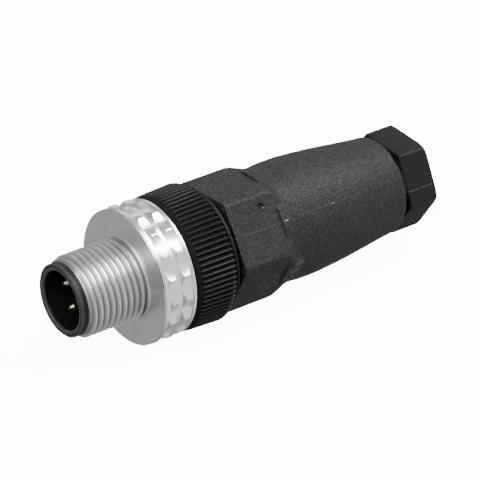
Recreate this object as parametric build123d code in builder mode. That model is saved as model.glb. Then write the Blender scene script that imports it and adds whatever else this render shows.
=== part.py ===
"""Field-wireable M12 circular connector: male, four contacts, hexagonal housing and cable gland.

Millimetres. X is the connector's axis and runs from the mating end to the cable end, +Z is up,
and the origin is on the axis, in the middle of the coupling thread's full length.
Angles about the axis are measured from -Y towards +Z.
"""
import os
from math import cos, pi, radians, sin

from build123d import *

# Gaps between pieces that move on each other
running_gap = 0.05
axial_gap = 0.07
soft_gap = 0.10

# Coupling nut: threaded tube, then a flange with two rows of gripping facets
thread_radius = 6.0
thread_length = 8.5
thread_chamfer = 0.5
relief_length = 0.54
relief_depth = 0.62
flange_radius = 10.0
flange_width = 5.41
flange_chamfer = 0.12
front_lip = 0.78
rear_lip = 0.35
row_gap = 0.5
facet_count = 18
facet_angle = 18.8
facet_floor_depth = 0.42
facet_rise = 0.15
facet_valley = 0.45
facet_ridge_length = 0.95
facet_ridge_width = 0.16
seal_recess_depth = 0.75

# Contact carrier: rim, collar, insert and terminal block in one moulding
rim_radius = 5.4
rim_width = 1.0
rim_edge = 0.18
collar_radius = 4.93
socket_radius = 4.35
socket_depth = 8.9
key_angles = (24.0, 72.0)
key_widths = (1.3, 1.1)
key_heights = (0.45, 0.18)
key_setback = 0.25
terminal_length = 7.6
screw_well_radius = 1.4

# Contacts
pin_circle_radius = 2.5
pin_angle = 67.0
pin_radius = 0.5
pin_tip_radius = 0.25
pin_seat_radius = 0.6
pin_recess = 2.1
pin_seat = 1.5
shank_radius = 0.9
barrel_radius = 1.5
barrel_end_inset = 0.3
barrel_length = 7.9
wire_hole_radius = 0.8
wire_hole_depth = 6.2
contact_count = 4

# Terminal screws
screw_radius = 0.85
screw_head_radius = 1.25
screw_head_height = 0.75
screw_slot_width = 0.45
screw_slot_depth = 0.4
screw_inset = 0.1
screw_from_end = 3.6

# Grip body: ribbed ring, disc and threaded neck
body_gap = 0.3
shoulder_radius = 9.4
shoulder_length = 0.5
band_radius = 9.85
band_length = 0.25
rib_length = 5.7
rib_count = 78
rib_angle = 0.8
rib_front_radius = 10.1
rib_rear_radius = 10.35
rib_depth = 0.42
rib_top_width = 0.28
rib_foot_width = 0.56
rib_nose_length = 0.35
rib_tail_length = 0.12
recess_radius = 8.9
recess_length = 0.65
disc_radius = 9.6
disc_land = 0.35
neck_radius = 7.0
neck_length = 6.2
neck_chamfer = 0.4

# Rings
friction_ring_section = 0.4
clip_section = 0.7
clip_depth = 0.45
clip_reach = 0.9
clip_opening = 50.0
seal_section = 0.45

# Housing: hexagon with rounded corners, then a waisted and tapered barrel
seal_space = 1.0
hex_flats = 17.22
hex_corner_fillet = 0.9
hex_corner_radius = 9.94
hex_length = 8.15
corner_length = 7.4
bevel_length = 1.9
barrel_front_radius = 8.97
waist_radius = 8.74
waist_length = 1.6
swell_radius = 8.93
swell_length = 3.9
taper_mid_radius = 8.11
taper_mid_length = 10.0
barrel_end_radius = 7.42
taper_end_length = 6.4
barrel_end_edge = 0.25
thread_bore_length = 6.6
chamber_radius = 6.5
chamber_end_length = 11.2
throat_cone_length = 1.9
throat_radius = 3.8
throat_length = 0.8
seal_bore_radius = 5.5
seal_bore_length = 4.6
gate_mark_radius = 0.55
gate_mark_depth = 0.18
gate_mark_side = 3.0
gate_mark_from_front = 5.7
hex_angle = 32.7

# Cable gland: seal, clamping cage and pressure nut
gland_seal_radius = 4.0
gland_seal_bore = 3.1
gland_seal_length = 7.2
gland_seal_edge = 0.3
gland_seal_nose_length = 0.6
gland_seal_nose_fall = 0.4
cage_radius = 5.35
cage_ring_length = 2.0
cage_finger_radius = 5.0
cage_finger_length = 6.6
cage_finger_count = 8
cage_slot_width = 1.0
cage_tip_length = 0.7
cage_tip_fall = 0.6
nut_thread_radius = 6.2
nut_neck_length = 6.2
nut_neck_bore = 5.25
nut_neck_chamfer = 0.3
nut_cone_length = 2.6
nut_bore_radius = 3.3
nut_flats = 13.37
nut_length = 5.05
nut_corner_fillet = 0.35
nut_edge_fall = 0.3
nut_face_radius = 6.6
nut_face_length = 0.35
nut_stand_off = 0.85
nut_mouth_flare = 0.8
nut_angle = 25.7

# Stations along the axis, front to rear
thread_front = -thread_length / 2 - thread_chamfer
flange_front = thread_length / 2 + relief_length
flange_rear = flange_front + flange_width
rim_rear = thread_front - axial_gap
rim_front = rim_rear - rim_width
socket_floor = rim_front + socket_depth
body_front = flange_rear + body_gap
band_front = body_front + shoulder_length
rib_front = band_front + band_length
rib_rear = rib_front + rib_length
land_front = rib_rear + recess_length
disc_rear = land_front + disc_land
neck_rear = disc_rear + neck_length
clip_front = neck_rear
terminal_front = clip_front + clip_section
carrier_rear = terminal_front + terminal_length
barrel_rear = carrier_rear - barrel_end_inset
barrel_front = barrel_rear - barrel_length
pin_tip = rim_front + pin_recess
pin_foot = socket_floor + pin_seat
screw_station = carrier_rear - screw_from_end
housing_front = disc_rear + seal_space
hex_rear = housing_front + hex_length
corner_rear = housing_front + corner_length
bevel_rear = corner_rear + bevel_length
waist_station = bevel_rear + waist_length
swell_station = waist_station + swell_length
taper_mid = swell_station + taper_mid_length
housing_rear = taper_mid + taper_end_length
thread_bore_rear = housing_front + thread_bore_length
chamber_rear = thread_bore_rear + chamber_end_length
throat_front = chamber_rear + throat_cone_length
throat_rear = throat_front + throat_length
seal_bore_rear = throat_rear + seal_bore_length
nut_front = housing_rear + nut_stand_off
nut_rear = nut_front + nut_length
nut_neck_front = nut_front - nut_neck_length
cone_front = nut_front - nut_cone_length

# Sizes that follow from the ones above
nut_bore = collar_radius + running_gap
facet_floor = flange_radius - facet_floor_depth
facet_row = (flange_width - front_lip - rear_lip - row_gap) / 2
facet_pitch = 2 * pi * facet_floor / facet_count
facet_sink = 0.25
neck_bore_in_housing = neck_radius + running_gap
nut_bore_in_housing = nut_thread_radius + running_gap
contact_step = 360 / contact_count
overrun = 1.0


def revolved(points):
    """Return the solid that an outline of (station, radius) points gives when turned about X."""
    with BuildPart() as turned:
        with BuildSketch(Plane.XY):
            with BuildLine():
                Polyline(points, close=True)
            make_face()
        revolve(axis=Axis.X)
    return turned.part


def radial_plane(station, radius, angle):
    """Plane at a radius about the axis, with its normal pointing out and its x along the axis."""
    out = (0, -cos(radians(angle)), sin(radians(angle)))
    origin = (station, radius * out[1], radius * out[2])
    return Plane(origin=origin, x_dir=(1, 0, 0), z_dir=out)


def save(part, name):
    """Label one finished piece and write its STEP file."""
    part.label = name
    export_step(part, f"parts/{name}.step")


def make_coupling_nut():
    """Nickel-plated nut: threaded tube with a relief, and a flange with two rows of facets."""
    relief_radius = thread_radius - relief_depth
    seal_recess_radius = collar_radius + 2 * friction_ring_section + 2 * soft_gap
    outline = [
        (thread_front, nut_bore),
        (thread_front, thread_radius - thread_chamfer),
        (thread_front + thread_chamfer, thread_radius),
        (flange_front - relief_length, thread_radius),
        (flange_front - relief_length + relief_length / 4, relief_radius),
        (flange_front, relief_radius),
        (flange_front, flange_radius - flange_chamfer),
        (flange_front + flange_chamfer, flange_radius),
        (flange_front + front_lip, flange_radius),
        (flange_front + front_lip, facet_floor),
        (flange_rear - rear_lip, facet_floor),
        (flange_rear - rear_lip, flange_radius),
        (flange_rear - flange_chamfer, flange_radius),
        (flange_rear, flange_radius - flange_chamfer),
        (flange_rear, seal_recess_radius),
        (flange_rear - seal_recess_depth, seal_recess_radius),
        (flange_rear - seal_recess_depth, nut_bore),
    ]
    rows = [flange_front + front_lip + facet_row / 2, flange_rear - rear_lip - facet_row / 2]
    foot_width = facet_pitch - facet_valley
    with BuildPart() as nut:
        add(revolved(outline))
        for row in rows:
            for index in range(facet_count):
                angle = facet_angle + index * 360 / facet_count
                foot = radial_plane(row, facet_floor - facet_sink, angle)
                with BuildSketch(foot):
                    Rectangle(facet_row, foot_width)
                with BuildSketch(foot.offset(facet_sink)):
                    Rectangle(facet_row, foot_width)
                loft(ruled=True)
                with BuildSketch(foot.offset(facet_sink)):
                    Rectangle(facet_row, foot_width)
                with BuildSketch(foot.offset(facet_sink + facet_floor_depth + facet_rise)):
                    Rectangle(facet_ridge_length, facet_ridge_width)
                loft(ruled=True)
    return nut.part


def contact_outline(length_to_rear):
    """Half outline of a contact about its own axis, also used to cut its bore."""
    return [
        (pin_tip, 0),
        (pin_tip, pin_tip_radius),
        (pin_tip + pin_radius, pin_radius),
        (socket_floor, pin_radius),
        (socket_floor, pin_seat_radius),
        (pin_foot, pin_seat_radius),
        (pin_foot, shank_radius),
        (barrel_front, shank_radius),
        (barrel_front, barrel_radius),
        (length_to_rear, barrel_radius),
        (length_to_rear, 0),
    ]


def contact_solid(angle, length_to_rear):
    """Turned contact on the pin circle at one angle."""
    blank = revolved(contact_outline(length_to_rear))
    out = Vector(0, -cos(radians(angle)), sin(radians(angle)))
    return blank.moved(Location(out * pin_circle_radius))


def make_carrier():
    """Insulating carrier: rim and collar round the pins, keys, insert and terminal block."""
    clip_floor = collar_radius - clip_depth
    outline = [
        (rim_front, socket_radius + rim_edge),
        (rim_front, rim_radius - rim_edge),
        (rim_front + rim_edge, rim_radius),
        (rim_rear, rim_radius),
        (rim_rear, collar_radius),
        (clip_front, collar_radius),
        (clip_front, clip_floor),
        (terminal_front, clip_floor),
        (terminal_front, collar_radius),
        (carrier_rear, collar_radius),
        (carrier_rear, 0),
        (socket_floor, 0),
        (socket_floor, socket_radius),
        (rim_front + rim_edge, socket_radius),
    ]
    key_length = socket_floor - rim_front - key_setback
    key_station = rim_front + key_setback + key_length / 2
    with BuildPart() as carrier:
        add(revolved(outline))
        for angle, width, height in zip(key_angles, key_widths, key_heights):
            with BuildSketch(radial_plane(key_station, socket_radius - height, angle)):
                Rectangle(key_length, width)
            extrude(amount=height + rim_edge)
        for index in range(contact_count):
            angle = pin_angle + index * contact_step
            add(contact_solid(angle, carrier_rear + overrun), mode=Mode.SUBTRACT)
            with BuildSketch(radial_plane(screw_station, pin_circle_radius, angle)):
                Circle(screw_well_radius)
            extrude(amount=collar_radius, mode=Mode.SUBTRACT)
    return carrier.part


def make_contact(angle):
    """Brass contact: pin, shank and a barrel with a wire hole and a tapped cross hole."""
    with BuildPart() as contact:
        add(contact_solid(angle, barrel_rear))
        out = Vector(0, -cos(radians(angle)), sin(radians(angle))) * pin_circle_radius
        with BuildSketch(Plane(origin=(barrel_rear, out.Y, out.Z), z_dir=(-1, 0, 0))):
            Circle(wire_hole_radius)
        extrude(amount=wire_hole_depth, mode=Mode.SUBTRACT)
        with BuildSketch(radial_plane(screw_station, pin_circle_radius, angle)):
            Circle(screw_radius + running_gap)
        extrude(amount=barrel_radius + overrun, mode=Mode.SUBTRACT)
    return contact.part


def make_screw(angle):
    """Slotted terminal screw, backed off so that its tip just clears the wire hole."""
    tip_radius = pin_circle_radius + wire_hole_radius + running_gap
    head_top = collar_radius - screw_inset
    head_foot = head_top - screw_head_height
    with BuildPart() as screw:
        with BuildSketch(radial_plane(screw_station, tip_radius, angle)):
            Circle(screw_radius)
        extrude(amount=head_top - tip_radius)
        with BuildSketch(radial_plane(screw_station, head_foot, angle)):
            Circle(screw_head_radius)
        extrude(amount=screw_head_height)
        with BuildSketch(radial_plane(screw_station, head_top - screw_slot_depth, angle)):
            Rectangle(2 * screw_head_radius + overrun, screw_slot_width)
        extrude(amount=screw_slot_depth + overrun, mode=Mode.SUBTRACT)
    return screw.part


def make_grip_body():
    """Moulded body: smooth shoulder, ribbed ring, disc with a sharp land, and threaded neck."""
    rib_root = rib_front_radius - rib_depth
    core = [
        (body_front, collar_radius),
        (body_front, shoulder_radius),
        (band_front, band_radius),
        (rib_front, band_radius),
        (rib_front, rib_root),
        (rib_rear, rib_root),
        (rib_rear, recess_radius),
        (rib_rear + recess_length / 2, recess_radius),
        (land_front, disc_radius),
        (disc_rear, disc_radius),
        (disc_rear, neck_radius),
        (neck_rear - neck_chamfer, neck_radius),
        (neck_rear, neck_radius - neck_chamfer),
        (neck_rear, collar_radius),
    ]
    envelope = [
        (rib_front, collar_radius),
        (rib_front, band_radius),
        (rib_front + rib_nose_length, rib_front_radius),
        (rib_rear - rib_tail_length, rib_rear_radius),
        (rib_rear, rib_rear_radius - rib_tail_length),
        (rib_rear, collar_radius),
    ]
    rib_height = rib_rear_radius + overrun - rib_root
    with BuildPart() as ribs:
        with BuildSketch(Plane.YZ.offset(rib_front)):
            Circle(rib_root + rib_depth / 4)
            with PolarLocations(rib_root, rib_count, start_angle=rib_angle):
                Polygon(
                    (-rib_depth / 2, -rib_foot_width / 2),
                    (0, -rib_foot_width / 2),
                    (rib_depth, -rib_top_width / 2),
                    (rib_height, -rib_top_width / 2),
                    (rib_height, rib_top_width / 2),
                    (rib_depth, rib_top_width / 2),
                    (0, rib_foot_width / 2),
                    (-rib_depth / 2, rib_foot_width / 2),
                    align=None,
                )
            Circle(collar_radius, mode=Mode.SUBTRACT)
        extrude(amount=rib_length)
        add(revolved(envelope), mode=Mode.INTERSECT)
    with BuildPart() as body:
        add(revolved(core))
        add(ribs.part)
    return body.part


def make_ring(station, radius, section):
    """Round-section ring about the axis: its own mean radius and section radius."""
    with BuildPart() as ring:
        with BuildSketch(Plane.XY):
            with Locations((station, radius)):
                Circle(section)
        revolve(axis=Axis.X)
    return ring.part


def make_clip():
    """Open retaining ring in the carrier's groove behind the neck."""
    clip_inner = collar_radius - clip_depth
    wedge_half = radians(clip_opening / 2)
    wedge_x = 2 * clip_inner * cos(wedge_half)
    wedge_y = 2 * clip_inner * sin(wedge_half)
    with BuildPart() as clip:
        with BuildSketch(Plane.YZ.offset(clip_front)):
            Circle(clip_inner + clip_reach)
            Circle(clip_inner, mode=Mode.SUBTRACT)
            with BuildLine():
                Polyline((0, 0), (wedge_x, wedge_y), (wedge_x, -wedge_y), close=True)
            make_face(mode=Mode.SUBTRACT)
        extrude(amount=clip_section)
    return clip.part


def make_housing():
    """Housing: hexagon with rounded corners, bevelled into a waisted barrel that tapers back."""
    corners = [
        (housing_front, 0),
        (housing_front, hex_corner_radius),
        (corner_rear, hex_corner_radius),
        (bevel_rear, barrel_front_radius),
        (bevel_rear, 0),
    ]
    bores = [
        (housing_front - overrun, 0),
        (housing_front - overrun, neck_bore_in_housing),
        (thread_bore_rear, neck_bore_in_housing),
        (thread_bore_rear, chamber_radius),
        (chamber_rear, chamber_radius),
        (throat_front, throat_radius),
        (throat_rear, throat_radius),
        (throat_rear, seal_bore_radius),
        (seal_bore_rear, seal_bore_radius),
        (seal_bore_rear, nut_bore_in_housing),
        (housing_rear + overrun, nut_bore_in_housing),
        (housing_rear + overrun, 0),
    ]
    with BuildPart() as housing:
        with BuildSketch(Plane.YZ.offset(housing_front)) as hexagon:
            RegularPolygon(hex_flats / 2, 6, major_radius=False, rotation=hex_turn(hex_angle))
            fillet(hexagon.vertices(), hex_corner_fillet)
        extrude(amount=bevel_rear - housing_front)
        add(revolved(corners), mode=Mode.INTERSECT)
        with BuildSketch(Plane.XY):
            with BuildLine():
                Polyline(
                    (housing_rear - barrel_end_edge, barrel_end_radius),
                    (housing_rear, barrel_end_radius - barrel_end_edge),
                    (housing_rear, 0),
                    (hex_rear, 0),
                    (hex_rear, barrel_front_radius),
                    (bevel_rear, barrel_front_radius),
                )
                Spline(
                    (bevel_rear, barrel_front_radius),
                    (waist_station, waist_radius),
                    (swell_station, swell_radius),
                    (taper_mid, taper_mid_radius),
                    (housing_rear - barrel_end_edge, barrel_end_radius),
                )
            make_face()
        revolve(axis=Axis.X)
        add(revolved(bores), mode=Mode.SUBTRACT)
        flat = radial_plane(housing_front + gate_mark_from_front, hex_flats / 2, hex_angle)
        with BuildSketch(flat.offset(-gate_mark_depth)):
            with Locations((0, -gate_mark_side)):
                Circle(gate_mark_radius)
        extrude(amount=gate_mark_depth + overrun, taper=-20, mode=Mode.SUBTRACT)
    return housing.part


def hex_turn(angle):
    """Rotation in the YZ plane that puts the middle of a hexagon's flat at an angle from -Y."""
    return 180 - angle + 30


def make_gland_seal():
    """Rubber seal inside the clamping cage."""
    start = throat_rear + soft_gap
    end = start + gland_seal_length
    outline = [
        (start, gland_seal_bore + gland_seal_edge),
        (start, gland_seal_radius),
        (end - gland_seal_nose_length, gland_seal_radius),
        (end, gland_seal_radius - gland_seal_nose_fall),
        (end, gland_seal_bore + gland_seal_edge),
        (end - gland_seal_edge, gland_seal_bore),
        (start + gland_seal_edge, gland_seal_bore),
    ]
    return revolved(outline)


def make_cage():
    """Clamping cage: a ring with fingers that the pressure nut's cone closes on the seal."""
    start = throat_rear + soft_gap
    bore = gland_seal_radius + soft_gap
    finger_end = start + cage_ring_length + cage_finger_length
    outline = [
        (start, bore),
        (start, cage_radius),
        (start + cage_ring_length, cage_radius),
        (start + cage_ring_length, cage_finger_radius),
        (finger_end - cage_tip_length, cage_finger_radius),
        (finger_end, cage_finger_radius - cage_tip_fall),
        (finger_end, bore),
    ]
    with BuildPart() as cage:
        add(revolved(outline))
        with BuildSketch(Plane.YZ.offset(start + cage_ring_length)):
            with PolarLocations(bore, cage_finger_count):
                Rectangle(cage_radius, cage_slot_width)
        extrude(amount=cage_finger_length + overrun, mode=Mode.SUBTRACT)
    return cage.part


def make_pressure_nut():
    """Gland nut: threaded neck with an inner cone, washer face, and hexagon with eased corners."""
    corner = nut_flats / 2 / cos(pi / 6)
    outline = [
        (nut_neck_front, nut_neck_bore),
        (nut_neck_front, nut_thread_radius - nut_neck_chamfer),
        (nut_neck_front + nut_neck_chamfer, nut_thread_radius),
        (nut_front - nut_face_length, nut_thread_radius),
        (nut_front - nut_face_length, nut_face_radius),
        (nut_front, nut_face_radius),
        (nut_front, corner),
        (nut_rear - nut_edge_fall, corner),
        (nut_rear, corner - 2 * nut_edge_fall),
        (nut_rear, nut_bore_radius + nut_mouth_flare),
        (nut_rear - nut_mouth_flare, nut_bore_radius),
        (nut_front, nut_bore_radius),
        (cone_front, nut_neck_bore),
    ]
    with BuildPart() as nut:
        add(revolved(outline))
        with BuildSketch(Plane.YZ.offset(nut_front)):
            Circle(corner + overrun)
            with BuildSketch(mode=Mode.PRIVATE) as hexagon:
                RegularPolygon(nut_flats / 2, 6, major_radius=False, rotation=hex_turn(nut_angle))
                fillet(hexagon.vertices(), nut_corner_fillet)
            add(hexagon.sketch, mode=Mode.SUBTRACT)
        extrude(amount=nut_length + overrun, mode=Mode.SUBTRACT)
    return nut.part


def main():
    """Make every piece and write one STEP file for each."""
    os.makedirs("parts", exist_ok=True)
    save(make_coupling_nut(), "coupling_nut")
    save(make_carrier(), "contact_carrier")
    save(make_grip_body(), "grip_body")
    friction_station = flange_rear + body_gap - friction_ring_section
    friction_radius = collar_radius + soft_gap / 2 + friction_ring_section
    save(make_ring(friction_station, friction_radius, friction_ring_section), "friction_ring")
    save(make_clip(), "retaining_clip")
    seal_radius = neck_radius + soft_gap + seal_section
    save(make_ring(disc_rear + seal_space / 2, seal_radius, seal_section), "housing_seal")
    save(make_housing(), "housing")
    save(make_gland_seal(), "gland_seal")
    save(make_cage(), "clamping_cage")
    save(make_pressure_nut(), "pressure_nut")
    for index in range(contact_count):
        angle = pin_angle + index * contact_step
        save(make_contact(angle), f"contact_pin_{index + 1}")
        save(make_screw(angle), f"terminal_screw_{index + 1}")


main()
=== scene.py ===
"""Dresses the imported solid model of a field-wireable M12 circular connector for rendering.

Sizes in the constants are millimetres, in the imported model's own frame: X is the connector's axis
and runs from the mating end to the cable end, +Z is up. Stations are places along X. Angles about
the axis are in degrees, from -Y towards +Z.
"""
from math import atan2, ceil, cos, degrees, hypot, pi, radians, sin, sqrt

import bmesh
import bpy
from bpy.props import FloatProperty, FloatVectorProperty, IntProperty, PointerProperty
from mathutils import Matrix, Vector


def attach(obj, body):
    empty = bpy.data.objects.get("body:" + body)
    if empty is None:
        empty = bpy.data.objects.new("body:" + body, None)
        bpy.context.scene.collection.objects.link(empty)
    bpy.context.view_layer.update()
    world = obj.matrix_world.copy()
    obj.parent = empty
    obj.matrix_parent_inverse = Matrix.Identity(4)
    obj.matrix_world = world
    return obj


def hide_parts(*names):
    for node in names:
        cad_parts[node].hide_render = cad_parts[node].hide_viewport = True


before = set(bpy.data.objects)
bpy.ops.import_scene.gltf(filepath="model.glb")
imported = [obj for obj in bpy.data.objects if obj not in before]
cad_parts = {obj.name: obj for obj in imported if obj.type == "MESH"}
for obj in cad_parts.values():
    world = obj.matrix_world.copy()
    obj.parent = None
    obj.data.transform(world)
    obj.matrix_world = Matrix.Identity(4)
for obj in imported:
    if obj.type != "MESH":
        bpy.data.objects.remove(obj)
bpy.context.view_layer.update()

bl_info = {
    "name": "M12 Circular Connector",
    "version": (1, 0, 0),
    "blender": (4, 5, 0),
    "location": "3D View > Sidebar > Connector",
    "description": "Builds the detailed pieces, finishes and stage of an M12 circular connector",
    "category": "Object",
}

# A millimetre and the welding distance in metres, and how near two places count as the same
MM = 0.001
WELD = 0.000001
SAME_STATION = 0.002
SAME_RADIUS = 0.02

# Thread profile in shares of the pitch: a 60-degree thread with flat roots and eased crests
THREAD_DEPTH = 0.6134
ROOT_END = 0.125
CREST_FOOT = 0.42
CREST_START = 0.45
CREST_EASE = 0.04
SPARE_TURNS = 2

# Coupling nut
THREAD_FRONT = -4.75
THREAD_REAR = 4.25
THREAD_RADIUS = 6.0
THREAD_CHAMFER = 0.85
RELIEF_FRONT = 4.35
RELIEF_RADIUS = 5.38
BOSS_FRONT = 4.54
BOSS_RADIUS = 6.35
BOSS_EDGE = 0.05
FLANGE_FRONT = 4.79
FLANGE_REAR = 10.2
FLANGE_RADIUS = 10.0
FLANGE_EDGE = 0.14
REAR_EDGE = 0.04
FRONT_ROW = (5.57, 7.44)
REAR_ROW = (7.98, 9.85)
FACET_FLOOR = 9.58
FACET_RIDGE_HALF = 0.475
FACET_TOP_HALF = 0.1
FACET_COUNT = 18
FACET_ANGLE = 18.8
FACET_SEGMENTS = 6
NUT_BORE = 4.98
SEAL_RECESS_RADIUS = 5.93
SEAL_RECESS_DEPTH = 0.75

# Grip body: the rib rows are measured from the ribs' front and back from their rear
BODY_FRONT = 10.5
SHOULDER_RADIUS = 9.4
BAND_FRONT = 11.0
BAND_RADIUS = 9.85
BAND_EDGE = 0.06
BAND_EDGE_DROP = 0.02
RIB_FRONT = 11.25
RIB_REAR = 16.95
RIB_ROOT = 9.68
RIB_FRONT_RADIUS = 10.1
RIB_REAR_RADIUS = 10.35
RIB_COUNT = 78
RIB_SEGMENTS = 8
RIB_NOSE = 0.36
RIB_NOSE_ROWS = (0.02, 0.12, 0.24, 0.36)
RIB_TAIL = 0.14
RIB_TAIL_ROWS = (0.14, 0.05, 0.0)
RIB_TAIL_DROP = 0.12
RIB_PROFILE = (1.0, 0.86, 0.08, 0.0, 0.0)
RECESS_RADIUS = 8.9
RECESS_LENGTH = 0.33
LAND_FRONT = 17.78
LAND_EDGE = 0.04
DISC_REAR = 17.95
DISC_RADIUS = 9.6
DISC_EDGE = 0.06
NECK_THREAD_FRONT = 18.85
NECK_THREAD_REAR = 24.1
NECK_RADIUS = 7.0
NECK_ROOT = 6.34
NECK_CHAMFER = 0.5
COLLAR_RADIUS = 4.93

# Housing: the rows are stations where the hexagon runs out into the barrel
HOUSING_FRONT = 18.95
HOUSING_REAR = 50.15
HOUSING_EDGE = 0.12
HOUSING_SEGMENTS = 480
FRONT_FACE_ROW = 8.0
HEX_FLATS = 17.22
HEX_FILLET = 0.9
HEX_ANGLE = 32.7
HEX_ROWS = (26.5, 26.7, 26.85, 27.0, 27.08, 27.15, 27.22, 27.3, 27.45, 27.6, 27.75, 27.9, 28.05)
CORNER_REAR = 26.35
CORNER_RADIUS = 9.94
BEVEL_REAR = 28.25
STEP_FRONT = 27.0
STEP_LENGTH = 0.16
STEP_HEIGHT = 0.42
BARREL_RADIUS = 8.97
BARREL_PROFILE = (
    (28.7, 8.88), (29.3, 8.77), (29.85, 8.74), (30.6, 8.78), (31.6, 8.88), (32.6, 8.92),
    (33.75, 8.93), (35.0, 8.9), (36.0, 8.84), (38.0, 8.7), (39.9, 8.54), (41.8, 8.34),
    (43.75, 8.11), (45.5, 7.9), (47.2, 7.7), (48.5, 7.56), (49.9, 7.43), (50.08, 7.38),
)
BARREL_END_RADIUS = 7.25
BORES_BELOW = 7.5
THREAD_BORE_REAR = 25.55
THREAD_BORE_RADIUS = 7.05
CHAMBER_REAR = 36.75
CHAMBER_RADIUS = 6.5
THROAT_FRONT = 38.65
THROAT_REAR = 39.45
THROAT_RADIUS = 3.8
SEAL_BORE_REAR = 44.05
SEAL_BORE_RADIUS = 5.5
GLAND_BORE_RADIUS = 6.25
GLAND_BORE_EDGE = 0.1

# Gate mark on the housing's flat, with rows of vertices that are close enough to draw its edge
GATE_STATION = 24.65
GATE_OFFSET = 3.0
GATE_RADIUS = 0.6
GATE_WALL = 0.1
GATE_ROWS = [24.0 + 0.11 * row for row in range(13)]

# Pressure nut: the eases are distances from an end, with how far the surface lies under the corner
NUT_FRONT = 51.0
NUT_REAR = 56.05
NUT_FLATS = 13.37
NUT_FILLET = 0.35
NUT_ANGLE = 25.7
NUT_EDGE = 0.1
NUT_FRONT_EASE = ((0.0, 0.25), (0.06, 0.1), (0.2, 0.0))
NUT_REAR_EASE = ((0.3, 0.0), (0.2, 0.2), (0.1, 0.45), (0.03, 0.8))
NUT_SEGMENTS = 360
NUT_THREAD_FRONT = 44.82
NUT_THREAD_REAR = 50.25
NUT_THREAD_RADIUS = 6.2
NUT_THREAD_ROOT = 5.38
NUT_THREAD_CHAMFER = 0.6
NUT_NECK_BORE = 5.25
NUT_CONE_FRONT = 48.4
NUT_BORE_RADIUS = 3.3
NUT_MOUTH = 0.8
NUT_MOUTH_EASE = (0.2, 0.45)
NUT_FACE_RADIUS = 6.6
NUT_FACE_FRONT = 50.65
NUT_FACE_EDGE = 0.05
NUT_END_RADIUS = 6.4
NUT_BORES_BELOW = 6.3

# Marks that the photo shows: station, radius and angle, and how far the mark reaches
RIB_SPECKS = ((13.28, 10.2, -22.0, 0.14), (10.78, 9.7, -9.0, 0.12))
# The last of these is a painted highlight on the gate mark's rim; the others are pale specks on the
# parting line
SEAM_SPECKS_AND_GATE_GLINT = (
    (27.5, 8.97, 32.9, 0.09), (27.76, 8.97, 32.6, 0.12), (28.0, 8.97, 32.6, 0.09),
    (36.2, 8.84, 32.8, 0.07), (36.4, 8.83, 32.6, 0.07), (25.05, 8.86, 51.2, 0.13),
)
# Painted shade in the gate mark's hollow
GATE_HOLLOW_SHADE = ((24.62, 8.95, 51.9, 0.6), (24.95, 8.95, 54.6, 0.35))
HOUSING_SCUFFS = (
    (29.5, 8.75, -14.0, 1.0), (29.6, 8.75, -23.0, 0.8), (28.4, 8.95, -22.0, 0.7),
    (25.7, 8.9, -22.0, 0.5), (27.2, 9.1, -30.0, 0.8), (24.7, 8.7, -37.0, 0.5),
)
# Greys and blacks of the marks: the hollow, groove and gap blacks are painted shade, and the speck
# grey also paints a highlight on the gate mark's rim
SEAM_GREY = "#6f6f6f"
SCUFF_GREY = "#737373"
SPECK_AND_GLINT_GREY = "#aaaaaa"
HOLLOW_SHADE_BLACK = "#070707"
GROOVE_SHADE_BLACK = "#030303"
GAP_SHADE_BLACK = "#0a0a0a"

# Lines on the pieces, among them a painted dark reflection in the flange's edge and painted
# shade in the rim's groove: the station or radius of each, and their angles about the axis
DARK_EDGE_REFLECTION = 4.87
DARK_EDGE_REFLECTION_ANGLE = 27.0
SCORE_LINE = 5.12
RIM_GROOVE = 4.98
NUT_SEAM_ANGLE = 12.0
SEAM_WIDTH = 0.12
SEAM_RADIUS = 9.0

# Zones of the finishes and of their painted shade and highlights: where each is full and where it
# has faded out
FLANGE_FACE_ZONE = (4.79, 5.09)
THREAD_ZONE = (4.3, 4.5)
ROOT_ZONE = (5.42, 5.8)
UNDER_CREST_ZONE = (5.86, 5.95)
DARK_EDGE_REFLECTION_ZONE = (0.05, 0.09)
DARK_EDGE_REFLECTION_ENDS = (10.0, 17.0)
SCORE_LINE_ZONE = (0.04, 0.1)
GROOVE_ZONE = (0.05, 0.11)
RIB_GAP_RADII = (9.86, 10.0)
RIB_GAP_STATIONS = (17.55, 17.7)
MOUTH_ZONE = (-5.7, -5.3)

# Shares of the nickel's colour where it is dull, where it is painted lighter as a highlight and
# where it is painted dark as shade, and how strong the marks are
NICKEL_SHARES = (0.92, 1.36, 0.15)
ROOT_SHADE = 0.55
SCORE_SHADE = 0.4
SCUFF_SHADE = 0.6
GROOVE_DEPTH = 4.0

# Sizes of the lumps and breaks in the finishes
NICKEL_CLOUD = 2.5
NICKEL_GRAIN = 0.14
PLASTIC_CLOUD = 4.0
METAL_GRAIN = 0.1
SEAM_BREAKS = 0.7
SCUFF_BREAKS = 0.22
TABLE_CLOUD = 6.0

# Camera, at the place that the photo was taken from
CAMERA_AZIMUTH = -37.192
CAMERA_ELEVATION = 29.211
CAMERA_DISTANCE = 432.43
CAMERA_TARGET = (25.23, 0, -0.842)
CAMERA_SENSOR = 36.0
CAMERA_LENS = 226.1
CAMERA_CLIP = 10.0

# Light table and soft boxes: name, place, width, depth and power in watts
PART_MIDDLE = (25, 0, 0)
TABLE_HALF = 1600
TABLE_GLOW = 12.0
SOFT_BOXES = (
    ("top_soft_box", (240, -120, 360), 300, 160, 2.4),
    ("front_soft_box", (-260, -110, 280), 180, 140, 2.0),
    ("back_soft_box", (200, 340, 200), 300, 200, 0.2),
)

# Surround: the side that is lightest, and its grey from the far side round to that one
SURROUND_SIDE = (0.4, -0.85, 0.35)
SURROUND_GREYS = [(0.0, 0.5), (0.4, 0.3), (0.7, 0.96), (1.0, 1.0)]


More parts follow.
